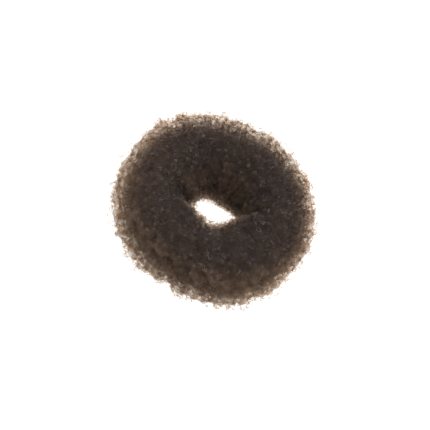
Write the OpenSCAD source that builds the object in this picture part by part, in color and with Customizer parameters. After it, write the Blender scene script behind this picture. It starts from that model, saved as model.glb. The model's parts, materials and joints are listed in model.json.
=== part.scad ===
// Hair donut: a tube of crinkled nylon net, rolled on itself into a soft ring.
// It lies flat on its foot, with the hole's pointed end to the right.

/* [Ring] */
// Width of the ring over the net, without its loose curls
ring_d = 82; // [70:1:110]
// Height of the ring above the surface that it lies on
ring_h = 32; // [26:1:42]
// Width of the hole at half the ring's height
hole_d = 18; // [14:1:26]
// How far the hole's middle lies to the right of the ring's middle
hole_x = 0.8; // [-3:0.1:3]
// How far the hole's middle lies behind the ring's middle
hole_y = -2.2; // [-3:0.1:3]
// Width of the flattened band that the ring rests on
foot_w = 12; // [6:1:18]

/* [Gathers] */
// Number of gathers that run over the crown into the hole
gathers = 14; // [8:1:18]
// Depth of a gather at the hole's upper edge
gather_depth = 1; // [0:0.1:1.6]

/* [Free edge] */
// Thickness of the net's last turn
turn_t = 2; // [1.6:0.1:3.6]
// Slit between the last turn and the roll under it
slit_w = 0.5; // [0.4:0.1:1]
// How far up from its edge the last turn lies loose
loose_l = 11; // [6:1:16]
// Height of the last turn's edge on the hole's wall
edge_h = 12; // [10:1:18]

/* [Hidden] */

// Columns of the sections' table
OUTER = 0;  // reach of the outer side, as a share of ring_d / 2
HOLE = 1;   // reach of the hole's wall from the hole's middle, as a share of hole_d / 2
CROWN = 2;  // height of the crown over the roll's middle, as a share of the regular height
GATHER = 3; // depth of the gathers, as a share of gather_depth

// One row for each sixteenth of the ring, counterclockwise from the right side
sections = [
    // outer hole  crown gather
    [1.02, 1.13, 0.99, 0.8],
    [1.01, 1.20, 0.98, 0.6],
    [1.00, 0.90, 1.00, 0.9],
    [0.97, 0.67, 1.01, 1.2],
    [0.97, 0.65, 1.02, 1.1],
    [0.96, 0.67, 1.00, 1.3],
    [1.00, 0.88, 0.99, 0.9],
    [0.99, 0.95, 1.00, 0.7],
    [0.99, 1.05, 1.01, 1.0],
    [1.00, 1.55, 0.98, 0.8],
    [1.01, 1.10, 0.99, 1.1],
    [1.02, 1.12, 0.98, 0.7],
    [0.98, 1.08, 0.97, 1.0],
    [1.03, 1.12, 0.99, 1.2],
    [1.05, 0.86, 1.01, 0.8],
    [1.01, 1.12, 1.00, 1.0],
];

// Sections in each gather, enough to keep its fold round
steps_per_gather = 6;
ring_steps = gathers * steps_per_gather;
// Points along the roll's skin, its tucked side and the loose turn's two faces
skin_steps = 26;
tuck_steps = 7;
slit_steps = 3;
// Swing of the gathers to either side of their even places, in degrees, so that no two are alike
gather_swing_angle = 20;
// Direction, seen from the roll's middle, in which the gathers are deepest, and their spread
gather_aim_angle = 150;
gather_spread_angle = 100;

// The roll is an ellipse cut flat at the foot: foot_cut is the share of its lower
// half-height that is left, so that the flat band comes out foot_w wide
roll_w = (ring_d - hole_d) / 4;
foot_cut = sqrt(1 - pow(foot_w / 2 / roll_w, 2));
roll_b = ring_h / (1 + foot_cut);
mid_h = ring_h - roll_b;

// The free edge and the loose stretch above it, as directions from the roll's middle
edge_dir = 180 + asin((mid_h - edge_h) / roll_b);
loose_arc = loose_l / roll_b * 180 / PI;
// The edge and the slit's end are rounded over half the turn's and the slit's thickness
edge_arc = turn_t / 2 / roll_b * 180 / PI;
slit_arc = slit_w / 2 / roll_b * 180 / PI;
under_turn = turn_t + slit_w;

function ease(t) = t * t * (3 - 2 * t);

// A column's share at an angle round the ring, on a smooth closed curve through the rows
function share(column, angle) =
    let (
        rows = len(sections),
        place = angle / 360 * rows,
        row = floor(place),
        t = place - row,
        v = [for (k = [-1:2]) sections[(row + k + rows) % rows][column]]
    )
    v[1] + t / 2 * (v[2] - v[0] + t * (2 * v[0] - 5 * v[1] + 4 * v[2] - v[3]
        + t * (3 * (v[1] - v[2]) + v[3] - v[0])));

// Fold of the gathers at an angle round the ring, from 0 on a ridge to 1 in a furrow
function fold(angle) = (1 - cos(gathers * angle + gather_swing_angle * (sin(2 * angle) + sin(5 * angle)))) / 2;

// How much of a gather is left in a direction from the roll's middle
function fade(dir) = max(0, cos((dir - gather_aim_angle) * 90 / gather_spread_angle));

// The outline of the roll, as [direction, depth under the skin]. It runs from the free edge over
// the crown, down the outer side to the foot, up the hole's wall and back in under the last turn.
outline = concat(
    [for (i = [0:skin_steps]) [edge_dir - (edge_dir + 90) * i / skin_steps, 0]],
    [for (i = [1:tuck_steps]) [-90 - (270 - edge_dir) * i / tuck_steps, under_turn * ease(i / tuck_steps)]],
    [for (i = [1:slit_steps]) [edge_dir - loose_arc * i / slit_steps, under_turn]],
    [[edge_dir - loose_arc - slit_arc, turn_t + slit_w / 2]],
    [for (i = [slit_steps:-1:0]) [edge_dir - loose_arc * i / slit_steps, turn_t]],
    [[edge_dir + edge_arc, turn_t / 2]]
);

// The section at an angle round the ring, from the hole's wall out to the outer side
function section(angle) =
    let (
        way = [cos(angle), sin(angle)],
        inner = [hole_x, hole_y] + hole_d / 2 * share(HOLE, angle) * way,
        outer = ring_d / 2 * share(OUTER, angle) * way,
        middle = (inner + outer) / 2,
        half = (outer - inner) / 2,
        gather = gather_depth * share(GATHER, angle) * fold(angle)
    )
    [for (o = outline)
        let (
            depth = o[1] + gather * fade(o[0] < -90 ? o[0] + 360 : o[0]),
            reach = norm(half) - depth,
            height = roll_b * (sin(o[0]) > 0 ? share(CROWN, angle) : 1) - depth,
            spot = middle + half / norm(half) * reach * cos(o[0])
        )
        [spot.x, spot.y, max(0, mid_h + height * sin(o[0]))]
    ];

module net_roll() {
    points = [for (i = [0:ring_steps - 1]) each section(360 * i / ring_steps)];
    count = len(outline);
    faces = [
        for (i = [0:ring_steps - 1], j = [0:count - 1])
            let (
                a = i * count + j,
                b = i * count + (j + 1) % count,
                c = (i + 1) % ring_steps * count + (j + 1) % count,
                d = (i + 1) % ring_steps * count + j
            )
            each [[a, c, b], [a, d, c]]
    ];
    // The ring's middle is the middle of its width and depth, the uneven rows included
    middle_x = (max([for (p = points) p.x]) + min([for (p = points) p.x])) / 2;
    middle_y = (max([for (p = points) p.y]) + min([for (p = points) p.y])) / 2;
    color("#3c2f29")
        translate([-middle_x, -middle_y, 0])
            polyhedron(points, faces, convexity = 6);
}

net_roll();
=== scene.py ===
import json
from math import cos, exp, pi, radians, sin

import bpy
from mathutils import Matrix, Vector, noise
from mathutils.bvhtree import BVHTree


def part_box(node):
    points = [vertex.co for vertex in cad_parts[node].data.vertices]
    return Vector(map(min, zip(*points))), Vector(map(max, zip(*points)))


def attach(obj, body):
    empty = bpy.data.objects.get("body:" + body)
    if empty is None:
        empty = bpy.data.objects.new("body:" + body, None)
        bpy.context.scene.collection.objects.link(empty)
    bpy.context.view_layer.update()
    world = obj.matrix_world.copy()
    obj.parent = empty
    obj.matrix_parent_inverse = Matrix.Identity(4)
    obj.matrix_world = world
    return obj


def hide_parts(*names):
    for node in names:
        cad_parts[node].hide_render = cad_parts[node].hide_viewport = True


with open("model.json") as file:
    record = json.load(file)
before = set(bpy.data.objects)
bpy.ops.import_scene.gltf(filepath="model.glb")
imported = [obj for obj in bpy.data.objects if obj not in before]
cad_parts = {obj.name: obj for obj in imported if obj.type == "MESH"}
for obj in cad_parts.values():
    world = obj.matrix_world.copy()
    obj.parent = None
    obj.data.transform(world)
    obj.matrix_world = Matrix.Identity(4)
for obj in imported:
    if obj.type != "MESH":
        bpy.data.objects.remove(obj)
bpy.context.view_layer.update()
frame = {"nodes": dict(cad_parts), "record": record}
ring_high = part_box("net_roll")[1]


# Camera
# A long lens looks down on the ring at a steep slant. The camera is turned on its own axis, so that
# the ring's right side points down to the right in the picture.
camera_rise = radians(58)
camera_turn = radians(29)
camera_distance = 0.7
sensor_mm = 36
picture_px = 430
ring_px_per_m = 2410
ring_right_px = 0.7
ring_up_px = 9.2

towards_camera = Vector((0, -cos(camera_rise), sin(camera_rise)))
level_right = Vector((1, 0, 0))
level_up = towards_camera.cross(level_right)
picture_right = level_right * cos(camera_turn) + level_up * sin(camera_turn)
picture_up = level_up * cos(camera_turn) - level_right * sin(camera_turn)
ring_middle = Vector((0, 0, ring_high.z / 2))

camera_data = bpy.data.cameras.new("camera")
camera_data.sensor_width = sensor_mm
camera_data.lens = sensor_mm * ring_px_per_m * camera_distance / picture_px
camera_data.clip_start = 0.01
camera = bpy.data.objects.new("camera", camera_data)
bpy.context.scene.collection.objects.link(camera)
camera_place = (
    ring_middle
    + towards_camera * camera_distance
    - picture_right * (ring_right_px / ring_px_per_m)
    - picture_up * (ring_up_px / ring_px_per_m)
)
camera.matrix_world = Matrix.Translation(camera_place) @ Matrix(
    (picture_right, picture_up, towards_camera)
).transposed().to_4x4()
bpy.context.scene.camera = camera


# Table and light
# The ring lies on a white light table in a white tent, which light it from every side. A round
# lamp in the tent's top adds the shine on the yarn, and two broad panels light it from behind.
table_half = 3
table_glow = 1.03
tent_glow = 0.5
panel_slant = 42
panel_swing = 40
table_mesh = bpy.data.meshes.new("table")
table_mesh.from_pydata(
    [(x * table_half, y * table_half, 0) for x, y in ((-1, -1), (1, -1), (1, 1), (-1, 1))], [], [(0, 1, 2, 3)]
)
table = bpy.data.objects.new("table", table_mesh)
bpy.context.scene.collection.objects.link(table)

table_white = bpy.data.materials.new("table_white")
table_white.use_nodes = True
table_shader = table_white.node_tree.nodes["Principled BSDF"].inputs
table_shader["Base Color"].default_value = (0.08, 0.08, 0.08, 1)
table_shader["Roughness"].default_value = 1
table_shader["Specular IOR Level"].default_value = 0
table_shader["Emission Color"].default_value = (1, 1, 1, 1)
table_shader["Emission Strength"].default_value = table_glow
table_mesh.materials.append(table_white)

tent = bpy.data.worlds.new("tent")
tent.use_nodes = True
tent.node_tree.nodes["Background"].inputs["Color"].default_value = (1, 1, 1, 1)
tent.node_tree.nodes["Background"].inputs["Strength"].default_value = tent_glow
bpy.context.scene.world = tent
bpy.context.scene.view_settings.view_transform = "Standard"

tent_lamp_data = bpy.data.lights.new("tent_lamp", "AREA")
tent_lamp_data.shape = "DISK"
tent_lamp_data.size = 0.3
tent_lamp_data.energy = 1.18
tent_lamp_data.color = (0.7, 0.86, 1)
tent_lamp = bpy.data.objects.new("tent_lamp", tent_lamp_data)
tent_lamp.location = (-0.03, 0.07, 0.5)
tent_lamp.rotation_euler = tent_lamp.location.to_track_quat("Z", "Y").to_euler()
bpy.context.scene.collection.objects.link(tent_lamp)

for side in (-1, 1):
    panel_data = bpy.data.lights.new(f"side_panel_{side}", "SUN")
    panel_data.energy = 1.6
    panel_data.angle = radians(60)
    panel = bpy.data.objects.new(f"side_panel_{side}", panel_data)
    panel.rotation_euler = (radians(panel_slant), 0, radians(180 + panel_swing * side))
    bpy.context.scene.collection.objects.link(panel)


# Form of the roll
# The net is wound in turns, like a sock that is rolled down. The form is the skin of the outer
# turn, from its free edge in the hole over the crown and round the foot until it tucks in under
# that edge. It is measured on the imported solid, and every turn of the net follows it.
form_sections = 210
form_points = 120
net_proud = 0.0009
hole_proud = 0.0001
hole_sag = 0.0015
# Direction from the hole's middle and spread, in degrees, and how far the net bulges into the hole
# there, or lies back from it
hole_bulges = (
    (19, 7, -0.0038),
    (120, 8, -0.0004),
    (142, 9, 0.0008),
    (172, 10, 0.0012),
    (250, 12, 0.0014),
    (283, 9, 0.0006),
    (290, 40, 0.0004),
    (314, 8, 0.0006),
    (330, 9, -0.0011),
    (344, 7, 0.0007),
    (357, 6, 0.0024),
)
tuft_height = 0.0028
tuft_scale = 240
# Tufts are flatter in the hole, and on the crown from this upward share of their direction on
crown_from = 0.55
crown_flatness = 1.5
hole_flatness = 0.75
skin_gap = 0.0002
# The turns lie closer in the hole, most of all at one side, and less so at another
hole_press = 0.26
close_side = 213
closer_by = 0.4
loose_side = 290
looser_by = 0.3
# All round the roll, the turns lie a little closer on one side of the ring than on the other
tight_side = 350
tighter_by = 0.12
free_edge = radians(192)
middle_share = 0.48
slit_most = 0.0012
far_away = 0.08
past_wall = 1e-5

solid = frame["nodes"]["net_roll"]
solid_tree = BVHTree.FromPolygons(
    [v.co.copy() for v in solid.data.vertices], [tuple(p.vertices) for p in solid.data.polygons]
)
mounts = {mount["name"]: mount for mount in frame["record"]["mounts"]}
hole_middle = Vector((*mounts["hair_hole"]["pos_m"][:2], middle_share * ring_high.z))


def walls(start, way, count=3):
    """Distances from a point to the walls that a straight line meets."""
    found, reached = [], 0
    for _ in range(count):
        spot = solid_tree.ray_cast(start + way * reached, way)[0]
        if spot is None:
            break
        reached = (spot - start).length + past_wall
        found.append(reached)
    return found


def towards(degrees):
    return Vector((cos(radians(degrees)), sin(radians(degrees)), 0))


def tufted(spot, middle):
    """A point of the skin, moved out to where the net's tufts reach."""
    out = (spot - middle).normalized()
    side = (middle - hole_middle).normalized()
    to_hole = max(0, -out.dot(side))
    high = net_proud + (hole_proud - hole_sag * out.z) * to_hole
    for degrees, spread, bulge in hole_bulges:
        high += bulge * to_hole * exp(-((side.angle(towards(degrees)) / radians(spread)) ** 2))
    pressed = crown_flatness * max(0, out.z - crown_from) + hole_flatness * to_hole
    high += tuft_height * (1 - pressed) * noise.noise(spot * tuft_scale)
    spot = spot + out * high
    spot.z = max(spot.z, skin_gap)
    return spot


def inward_way(spot, middle):
    """The way in from the skin, shorter where the turns are pressed together."""
    out = (spot - middle).normalized()
    side = (middle - hole_middle).normalized()
    press = hole_press + closer_by * max(0, side.dot(towards(close_side))) ** 3
    press -= looser_by * max(0, side.dot(towards(loose_side))) ** 2
    tight = 1 - tighter_by * side.dot(towards(tight_side))
    return -out * tight * (1 - press * max(0, -out.dot(side)))


def form_section(around):
    """The middle of the roll's section in a direction from the hole, and the net's skin round it."""
    out = Vector((cos(around), sin(around), 0))
    near = walls(hole_middle, out, 1)[0]
    far = far_away - walls(hole_middle + out * far_away, -out, 1)[0]
    middle = hole_middle + out * ((near + far) / 2)
    skin = []
    for step in range(form_points + 1):
        turned = step / form_points
        angle = free_edge - turned * 2 * pi
        way = out * cos(angle) + Vector((0, 0, sin(angle)))
        met = walls(middle, way)
        # Over the slit, a line meets the roll, then the inner and the outer face of the last turn
        over_slit = turned < 0.5 and len(met) == 3 and met[1] - met[0] < slit_most
        skin.append(tufted(middle + way * (met[2] if over_slit else met[0]), middle))
    return middle, skin


roll_form = [form_section(2 * pi * i / form_sections) for i in range(form_sections)]
roll_form.append(roll_form[0])

form_mesh = bpy.data.meshes.new("form")
form_row = form_points + 1
form_mesh.from_pydata(
    [spot for _, skin in roll_form for spot in skin],
    [],
    [
        (i * form_row + j, i * form_row + j + 1, (i + 1) * form_row + j + 1, (i + 1) * form_row + j)
        for i in range(form_sections)
        for j in range(form_points)
    ],
)
flat = form_mesh.attributes.new("flat", "FLOAT_VECTOR", "POINT")
inward = form_mesh.attributes.new("inward", "FLOAT_VECTOR", "POINT")
for i, (middle, skin) in enumerate(roll_form):
    for j, spot in enumerate(skin):
        flat.data[i * form_row + j].vector = (i / form_sections, j / form_points, 0)
        inward.data[i * form_row + j].vector = inward_way(spot, middle)
form = bpy.data.objects.new("form", form_mesh)
bpy.context.scene.collection.objects.link(form)


# Net turns
# The net is knitted from one fine, crimped nylon yarn. Its wales run round the roll and swing from
# side to side across their neighbours, and the crimp pulls every stitch out of line. The turns lie
# loosely on each other, closer towards the middle of the roll.
tuft_width = 0.003
# In the hole, strands gather least into tufts: the first length is measured from the ring's middle
flat_reach = 0.008
flat_fade = 0.01
least_gather = 0.3
yarn_sides = 3
thinnest_yarn = 0.75
thickest_yarn = 1.25
# The middle of a strand stays this many times its radius, and this gap more, above the table
yarn_clear = 1.5
yarn_gap = 0.0004
# Share of the stitches that curl out of a turn, and the least part of a full curl that one takes
curl_share = 0.12
least_curl = 0.3


class Signal:
    """An output of a node. Sums and products of signals add the Math nodes that they need."""

    def __init__(self, bench, socket):
        self.bench = bench
        self.socket = socket

    def math(self, operation, *terms):
        terms = (self, *terms)
        of_vectors = any(isinstance(t, Signal) and t.socket.type == "VECTOR" for t in terms)
        node = self.bench.tree.nodes.new("ShaderNodeVectorMath" if of_vectors else "ShaderNodeMath")
        node.operation = operation
        for socket, term in zip(node.inputs, terms):
            self.bench.feed(socket, term)
        return Signal(self.bench, node.outputs[0])

    def __add__(self, other):
        return self.math("ADD", other)

    def __sub__(self, other):
        return self.math("SUBTRACT", other)

    def __mul__(self, other):
        return self.math("MULTIPLY", other)

    def __truediv__(self, other):
        return self.math("DIVIDE", other)

    def __gt__(self, other):
        return self.math("GREATER_THAN", other)

    def __rsub__(self, other):
        return (self * -1) + other

    def __rtruediv__(self, other):
        return self.math("POWER", -1) * other

    __radd__ = __add__
    __rmul__ = __mul__


class Bench:
    """A node tree that is being put together, for the net's shape or for a material."""

    def __init__(self, tree):
        self.tree = tree

    def feed(self, socket, value):
        if isinstance(value, Signal):
            self.tree.links.new(value.socket, socket)
        elif socket.type == "VECTOR" and isinstance(value, (int, float)):
            socket.default_value = (value, value, value)
        else:
            socket.default_value = value

    def node(self, kind, settings=None, values=None):
        """Adds a node and returns its outputs by name."""
        node = self.tree.nodes.new(kind)
        for name, setting in (settings or {}).items():
            setattr(node, name, setting)
        for name, value in (values or {}).items():
            self.feed(next(s for s in node.inputs if s.enabled and s.name == name), value)
        return {s.name: Signal(self, s) for s in node.outputs if s.enabled}


YARN_INPUTS = {
    "Bends": "NodeSocketInt",
    "Clump": "NodeSocketFloat",
    "Gather": "NodeSocketFloat",
    "Crimp": "NodeSocketFloat",
    "Yarn": "NodeSocketFloat",
    "Seed": "NodeSocketInt",
    "Material": "NodeSocketMaterial",
}
TURN_INPUTS = {
    "Form": "NodeSocketObject",
    "Wales": "NodeSocketInt",
    "Courses": "NodeSocketInt",
    "Swing": "NodeSocketFloat",
    "Depth": "NodeSocketFloat",
    "Loft": "NodeSocketFloat",
    "Curl": "NodeSocketFloat",
    **YARN_INPUTS,
}


def started(name, inputs):
    """A bench for a new tree that makes a mesh, and the tree's named inputs."""
    tree = bpy.data.node_groups.new(name, "GeometryNodeTree")
    for label, kind in inputs.items():
        tree.interface.new_socket(label, in_out="INPUT", socket_type=kind)
    tree.interface.new_socket("Mesh", in_out="OUTPUT", socket_type="NodeSocketGeometry")
    bench = Bench(tree)
    return bench, bench.node("NodeGroupInput")


def chance(bench, given, low, high, draw, of_vectors=False, together=1):
    """A random value for each point or run of points. Each draw in a tree has its own number."""
    values = {
        "Min": low,
        "Max": high,
        "ID": (bench.node("GeometryNodeInputIndex")["Index"] / together).math("FLOOR"),
        "Seed": given["Seed"] * 10 + draw,
    }
    kind = "FLOAT_VECTOR" if of_vectors else "FLOAT"
    return bench.node("FunctionNodeRandomValue", {"data_type": kind}, values)["Value"]


def named_vector(bench, name):
    settings = {"data_type": "FLOAT_VECTOR"}
    return bench.node("GeometryNodeInputNamedAttribute", settings, {"Name": name})["Attribute"]


def gathered(bench, given, spot):
    """A spot, moved towards the middle of the tuft that it belongs to. Tufts are flatter in the hole."""
    cells = bench.node("ShaderNodeTexVoronoi", values={"Vector": spot, "Scale": 1 / given["Clump"]})
    part = bench.node("ShaderNodeSeparateXYZ", values={"Vector": spot})
    reach = (part["X"] * part["X"] + part["Y"] * part["Y"]).math("SQRT")
    loose = ((reach - flat_reach) / flat_fade).math("MAXIMUM", least_gather).math("MINIMUM", 1)
    return spot + (cells["Position"] - spot) * (loose * given["Gather"])


def crimped(bench, given, spot):
    return spot + chance(bench, given, -1, 1, 4, of_vectors=True) * given["Crimp"]


def spun(bench, given, paths, spot, points_per_highlight_draw=1):
    """Lays yarn along paths whose points move to a spot, clear of the table."""
    reached = bench.node("ShaderNodeSeparateXYZ", values={"Vector": spot})
    reached["Z"] = reached["Z"].math("MAXIMUM", given["Yarn"] * yarn_clear + yarn_gap)
    reached = bench.node("ShaderNodeCombineXYZ", values=reached)["Vector"]
    laid = bench.node("GeometryNodeSetPosition", values={"Geometry": paths, "Position": reached})
    # A random draw for each point, or for each loop of a curl, that picks where the yarn gets a painted
    # highlight
    tone = chance(bench, given, 0, 1, 5, together=points_per_highlight_draw)
    toned = bench.node(
        "GeometryNodeStoreNamedAttribute",
        {"data_type": "FLOAT", "domain": "POINT"},
        {"Geometry": laid["Geometry"], "Name": "tone", "Value": tone},
    )
    smooth = bench.node(
        "GeometryNodeCurveSplineType", {"spline_type": "CATMULL_ROM"}, {"Curve": toned["Geometry"]}
    )
    bent = bench.node(
        "GeometryNodeSetSplineResolution",
        values={"Geometry": smooth["Curve"], "Resolution": given["Bends"]},
    )
    profile = bench.node(
        "GeometryNodeCurvePrimitiveCircle", {"mode": "RADIUS"}, {"Resolution": yarn_sides, "Radius": 1}
    )
    width = chance(bench, given, thinnest_yarn, thickest_yarn, 6)
    yarn = bench.node(
        "GeometryNodeCurveToMesh",
        values={
            "Curve": bent["Geometry"],
            "Profile Curve": profile["Curve"],
            "Scale": given["Yarn"] * width,
            "Fill Caps": True,
        },
    )
    whole = bench.node("GeometryNodeRealizeInstances", values={"Geometry": yarn["Mesh"]})
    dressed = bench.node(
        "GeometryNodeSetMaterial", values={"Geometry": whole["Geometry"], "Material": given["Material"]}
    )
    bench.node("NodeGroupOutput", values={"Mesh": dressed["Geometry"]})


def turn_tree():
    bench, given = started("net_turn", TURN_INPUTS)
    form = bench.node("GeometryNodeObjectInfo", values={"Object": given["Form"]})["Geometry"]
    line = bench.node("GeometryNodeCurvePrimitiveLine", values={"End": (0, 1, 0)})["Curve"]
    wale = bench.node(
        "GeometryNodeResampleCurve", {"mode": "COUNT"}, {"Curve": line, "Count": given["Courses"]}
    )
    wales = bench.node(
        "GeometryNodeDuplicateElements",
        {"domain": "SPLINE"},
        {"Geometry": wale["Curve"], "Amount": given["Wales"]},
    )
    place = bench.node("GeometryNodeSplineParameter")
    swing = ((place["Index"] * 0.5 + wales["Duplicate Index"]).math("PINGPONG", 1) - 0.5) * given["Swing"]
    across = ((wales["Duplicate Index"] + swing) / given["Wales"]).math("FRACT")
    spot = bench.node("ShaderNodeCombineXYZ", values={"X": across, "Y": place["Factor"]})["Vector"]

    def on_form(value):
        values = {"Mesh": form, "Value": value, "UV Map": named_vector(bench, "flat"), "Sample UV": spot}
        return bench.node("GeometryNodeSampleUVSurface", {"data_type": "FLOAT_VECTOR"}, values)["Value"]

    skin = on_form(bench.node("GeometryNodeInputPosition")["Position"])
    inward = on_form(named_vector(bench, "inward"))
    curled = chance(bench, given, 0, 1, 1) > 1 - curl_share
    curl = curled * chance(bench, given, least_curl, 1, 2) * given["Curl"]
    depth = given["Depth"] + chance(bench, given, -1, 1, 3) * given["Loft"] - curl
    laid = gathered(bench, given, crimped(bench, given, skin + inward * depth))
    spun(bench, given, wales["Geometry"], laid)
    return bench.tree


def grown(name, tree, sizes):
    """A plain mesh piece from a node tree and its named sizes."""
    piece = bpy.data.objects.new(name, bpy.data.meshes.new(name))
    bpy.context.scene.collection.objects.link(piece)
    modifier = piece.modifiers.new(name, "NODES")
    modifier.node_group = tree
    for socket in tree.interface.items_tree:
        if socket.name in sizes:
            modifier[socket.identifier] = sizes[socket.name]
    seen = piece.evaluated_get(bpy.context.evaluated_depsgraph_get())
    mesh = bpy.data.meshes.new_from_object(seen)
    piece.modifiers.remove(modifier)
    piece.data = mesh
    mesh.name = name
    mesh.shade_smooth()
    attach(piece, "root")
    return piece


# The outer side is stretched from here out, a little sooner at the back than at the front
outer_from = 0.0335
outer_fade = 0.006
outer_lean = 0.06
# The hole's lip is stretched up to here, in full at the front and by half at the back
lip_reach = 0.016
lip_fade = 0.003
front_from = 0.004
front_fade = 0.004
back_share = 0.5


def stretch(bench):
    """How thin the net is stretched, from 0 on the crown to 1 on the outer side and the hole's lip."""
    spot = bench.node("ShaderNodeSeparateXYZ", values={"Vector": bench.node("ShaderNodeTexCoord")["Object"]})
    reach = (spot["X"] * spot["X"] + spot["Y"] * spot["Y"]).math("SQRT")
    outside = (reach + spot["Y"] * outer_lean - outer_from) / outer_fade
    in_front = ((spot["Y"] * -1 - front_from) / front_fade).math("MAXIMUM", back_share)
    in_hole = ((lip_reach - reach) / lip_fade).math("MINIMUM", in_front)
    return outside.math("MAXIMUM", in_hole).math("MAXIMUM", 0).math("MINIMUM", 1)


# Share of the light through a strand that is left on the crown, where the net isn't stretched
crown_light = 0.2
# How much of its see-through share a stretch of yarn with a painted highlight loses, and how much less where
# it is stretched
highlight_cover = 0.6
highlight_stretched = 0.3


def net_finish(name, dark, painted_highlight_colour, glow, through, tint, clear):
    """Nylon yarn that shines a little, scatters some light through and lets some straight through. Pale grey
    stretches at random places along it are painted highlights.
    """
    material = bpy.data.materials.new(name)
    material.use_nodes = True
    material.node_tree.nodes.clear()
    bench = Bench(material.node_tree)
    tone = bench.node("ShaderNodeAttribute", {"attribute_name": "tone"})["Fac"]
    # Painted highlight: the cube of the random draw gives a few stretches of yarn the pale grey colour in
    # place of the dark one
    painted_highlight_mask = tone * tone * tone
    stretched = stretch(bench)
    colour = bench.node(
        "ShaderNodeMix", {"data_type": "RGBA"}, {"Factor": painted_highlight_mask, "A": (*dark, 1), "B": (*painted_highlight_colour, 1)}
    )["Result"]
    nylon = bench.node(
        "ShaderNodeBsdfPrincipled",
        values={"Base Color": colour, "Roughness": 0.35, "Specular IOR Level": 0.8},
    )["BSDF"]
    lit_through = bench.node("ShaderNodeBsdfTranslucent", values={"Color": (*glow, 1)})["BSDF"]
    light_share = through * (crown_light + stretched * (1 - crown_light))
    mixed = bench.node("ShaderNodeMixShader", values={"Fac": light_share})["Shader"]
    bench.feed(mixed.socket.node.inputs[1], nylon)
    bench.feed(mixed.socket.node.inputs[2], lit_through)
    straight = bench.node("ShaderNodeBsdfTransparent", values={"Color": (*tint, 1)})["BSDF"]
    clear_share = clear * (1 - painted_highlight_mask * (highlight_cover - stretched * highlight_stretched))
    sheer = bench.node("ShaderNodeMixShader", values={"Fac": clear_share})["Shader"]
    bench.feed(sheer.socket.node.inputs[1], mixed)
    bench.feed(sheer.socket.node.inputs[2], straight)
    bench.node("ShaderNodeOutputMaterial", values={"Surface": sheer})
    return material


# In each finish the dark colour is the yarn's own, and the pale grey colour is a painted highlight
net_brown = net_finish(
    "net_brown",
    dark=(0.02, 0.018, 0.022),
    painted_highlight_colour=(0.115, 0.1, 0.102),
    glow=(0.83, 0.71, 0.61),
    through=0.4,
    tint=(1.0, 0.93, 0.86),
    clear=0.885,
)
curl_brown = net_finish(
    "curl_brown",
    dark=(0.03, 0.027, 0.03),
    painted_highlight_colour=(0.15, 0.13, 0.124),
    glow=(0.83, 0.71, 0.61),
    through=0.4,
    tint=(1.0, 0.93, 0.86),
    clear=0.9,
)
deep_brown = net_finish(
    "deep_brown",
    dark=(0.02, 0.018, 0.022),
    painted_highlight_colour=(0.12, 0.11, 0.12),
    glow=(0.9, 0.6, 0.33),
    through=0.12,
    tint=(1.0, 0.85, 0.7),
    clear=0.0,
)
net_turns = [
    {"Depth": 0.0016, "Wales": 170, "Course": 0.0013, "Loft": 0.0009, "Curl": 0.0016, "Yarn": 0.0001},
    {"Depth": 0.0042, "Wales": 240, "Course": 0.0016, "Loft": 0.0012, "Curl": 0.0, "Yarn": 0.0001},
    {"Depth": 0.0060, "Wales": 300, "Course": 0.0032, "Loft": 0.0012, "Curl": 0.0, "Yarn": 0.00009},
]
turn = turn_tree()
for number, sizes in enumerate(net_turns, 1):
    course = sizes.pop("Course")
    girth = 2 * pi * (ring_high.z / 2 - sizes["Depth"])
    loose = number < 3
    grown(
        f"net_turn_{number}",
        turn,
        {
            **sizes,
            "Form": form,
            "Courses": round(girth / course),
            "Swing": 1.6,
            "Bends": 2,
            "Clump": tuft_width,
            "Gather": 0.3 if loose else 0.2,
            "Crimp": course * (0.9 if loose else 0.6),
            "Seed": number,
            "Material": net_brown if loose else deep_brown,
        },
    )


# Loose curls
# Between the stitches the crimped yarn stands up in short, open loops, which give the ring its fuzz.
# They are a little thicker than the net's own yarn, and some lie in the turns just under the skin.
loop_points = 6
loop_sweep = 4.2
smallest_loop = 0.6
largest_loop = 1.4
CURL_INPUTS = {
    "Form": "NodeSocketObject",
    "Density": "NodeSocketFloat",
    "Radius": "NodeSocketFloat",
    "Deepest": "NodeSocketFloat",
    "Proud": "NodeSocketFloat",
    **YARN_INPUTS,
}


def curl_tree():
    bench, given = started("loose_curls", CURL_INPUTS)
    form = bench.node("GeometryNodeObjectInfo", values={"Object": given["Form"]})["Geometry"]
    place = bench.node("GeometryNodeInputPosition")["Position"]
    roots = bench.node(
        "GeometryNodeDistributePointsOnFaces",
        {"distribute_method": "RANDOM"},
        {"Mesh": form, "Density": given["Density"], "Seed": given["Seed"]},
    )
    depth = chance(bench, given, 0, 1, 1) * (given["Deepest"] + given["Proud"]) - given["Proud"]
    root = gathered(bench, given, place + named_vector(bench, "inward") * depth)
    sunk = bench.node("GeometryNodeSetPosition", values={"Geometry": roots["Points"], "Position": root})
    loop = bench.node(
        "GeometryNodeCurveArc",
        {"mode": "RADIUS"},
        {"Resolution": loop_points, "Radius": given["Radius"], "Sweep Angle": loop_sweep},
    )
    turned = chance(bench, given, 0, 2 * pi, 3, of_vectors=True)
    stood = bench.node(
        "GeometryNodeInstanceOnPoints",
        values={
            "Points": sunk["Geometry"],
            "Instance": loop["Curve"],
            "Rotation": turned,
            "Scale": chance(bench, given, smallest_loop, largest_loop, 2),
        },
    )
    paths = bench.node("GeometryNodeRealizeInstances", values={"Geometry": stood["Instances"]})
    spun(bench, given, paths["Geometry"], crimped(bench, given, place), points_per_highlight_draw=loop_points)
    return bench.tree


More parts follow.
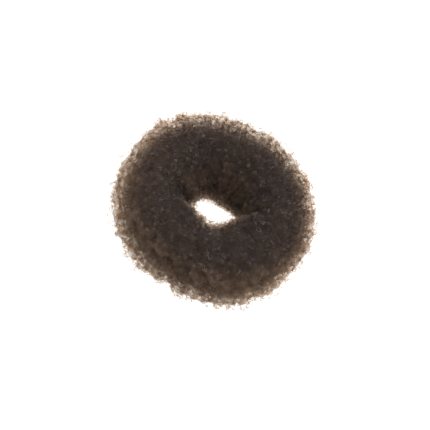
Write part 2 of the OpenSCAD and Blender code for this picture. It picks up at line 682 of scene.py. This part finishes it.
curl_layers = [
    {"Density": 330000.0, "Deepest": 0.0012, "Proud": 0.0010},
    {"Density": 250000.0, "Deepest": 0.0044, "Proud": 0.0002},
]
curl = curl_tree()
for number, sizes in enumerate(curl_layers, 1):
    grown(
        f"loose_curls_{number}",
        curl,
        {
            **sizes,
            "Form": form,
            "Radius": 0.0007,
            "Bends": 1,
            "Clump": tuft_width,
            "Gather": 0.45,
            "Crimp": 0.0003,
            "Yarn": 0.00015,
            "Seed": 20 + number,
            "Material": curl_brown,
        },
    )


# Fine web
# Between the yarns of the outer turns lies a haze of loose filaments, far thinner than the yarn. Each
# layer of it is a lumpy skin under the roll's skin, and its material lets some of the light pass.
web_rows = 60
# Distance from a tuft's middle, in tuft widths, at which the web has its even cover
even_cover = 0.5
# Share of the light through the web that is left on the crown
crown_web_light = 0.7


def wound(name, depth):
    """A closed skin at a depth under the net's skin."""
    spots = []
    for middle, skin in roll_form[:-1]:
        for spot in skin[:-1 : form_points // web_rows]:
            spots.append(spot + inward_way(spot, middle) * depth)
    mesh = bpy.data.meshes.new(name)
    mesh.from_pydata(
        spots,
        [],
        [
            (
                i * web_rows + j,
                i * web_rows + (j + 1) % web_rows,
                (i + 1) % form_sections * web_rows + (j + 1) % web_rows,
                (i + 1) % form_sections * web_rows + j,
            )
            for i in range(form_sections)
            for j in range(web_rows)
        ],
    )
    mesh.shade_smooth()
    piece = bpy.data.objects.new(name, mesh)
    bpy.context.scene.collection.objects.link(piece)
    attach(piece, "root")
    return piece


def web_finish(name, cover, through, lumps):
    """Filaments that cover a share of the layer, more of it in the middle of each tuft."""
    web = bpy.data.materials.new(name)
    web.use_nodes = True
    web.node_tree.nodes.clear()
    bench = Bench(web.node_tree)
    place = bench.node("ShaderNodeTexCoord")["Object"]
    cells = bench.node("ShaderNodeTexVoronoi", values={"Vector": place, "Scale": 1 / tuft_width})
    nylon = bench.node(
        "ShaderNodeBsdfPrincipled",
        values={"Base Color": (0.02, 0.019, 0.024, 1), "Roughness": 0.8, "Specular IOR Level": 0.1},
    )["BSDF"]
    lit_through = bench.node("ShaderNodeBsdfTranslucent", values={"Color": (0.93, 0.74, 0.57, 1)})["BSDF"]
    light_share = through * (crown_web_light + stretch(bench) * (1 - crown_web_light))
    filament = bench.node("ShaderNodeMixShader", values={"Fac": light_share})["Shader"]
    bench.feed(filament.socket.node.inputs[1], nylon)
    bench.feed(filament.socket.node.inputs[2], lit_through)
    gap = bench.node("ShaderNodeBsdfTransparent")["BSDF"]
    covered = (1 + (even_cover - cells["Distance"]) * lumps) * cover
    veil = bench.node("ShaderNodeMixShader", values={"Fac": covered.math("MAXIMUM", 0)})["Shader"]
    bench.feed(veil.socket.node.inputs[1], gap)
    bench.feed(veil.socket.node.inputs[2], filament)
    bench.node("ShaderNodeOutputMaterial", values={"Surface": veil})
    return web


web_layers = [
    {"depth": 0.0005, "cover": 0.37, "through": 0.8, "lumps": 0.65},
    {"depth": 0.0028, "cover": 0.3, "through": 0.7, "lumps": 0.6},
    {"depth": 0.0050, "cover": 0.42, "through": 0.42, "lumps": 0.1},
    {"depth": 0.0070, "cover": 0.6, "through": 0.22, "lumps": 0.1},
]
for number, sizes in enumerate(web_layers, 1):
    layer = wound(f"fine_web_{number}", sizes.pop("depth"))
    layer.data.materials.append(web_finish(f"fine_web_{number}", **sizes))


# Inner turns
# The turns in the middle of the roll are packed so tight that they read as one dark, lumpy body.
# They are the same nylon net as the outer turns, and its own spring holds them in the roll.
core_depth = 0.0086
strand_scale = 900
core = wound("inner_turns", core_depth)
packed_net = bpy.data.materials.new("packed_net")
packed_net.use_nodes = True
packed_net.node_tree.nodes.clear()
bench = Bench(packed_net.node_tree)
place = bench.node("ShaderNodeTexCoord")["Object"]
noise_values = {"Vector": place, "Scale": strand_scale, "Detail": 4}
strands = bench.node("ShaderNodeTexNoise", values=noise_values)["Fac"]
colour = bench.node(
    "ShaderNodeMix",
    {"data_type": "RGBA"},
    {"Factor": strands, "A": (0.018, 0.015, 0.016, 1), "B": (0.04, 0.032, 0.03, 1)},
)["Result"]
relief = bench.node("ShaderNodeBump", values={"Distance": 0.0006, "Height": strands})["Normal"]
packed = bench.node(
    "ShaderNodeBsdfPrincipled",
    values={"Base Color": colour, "Roughness": 0.8, "Specular IOR Level": 0.3, "Normal": relief},
)["BSDF"]
bench.node("ShaderNodeOutputMaterial", values={"Surface": packed})
core.data.materials.append(packed_net)
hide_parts("net_roll")

bpy.data.objects.remove(form)
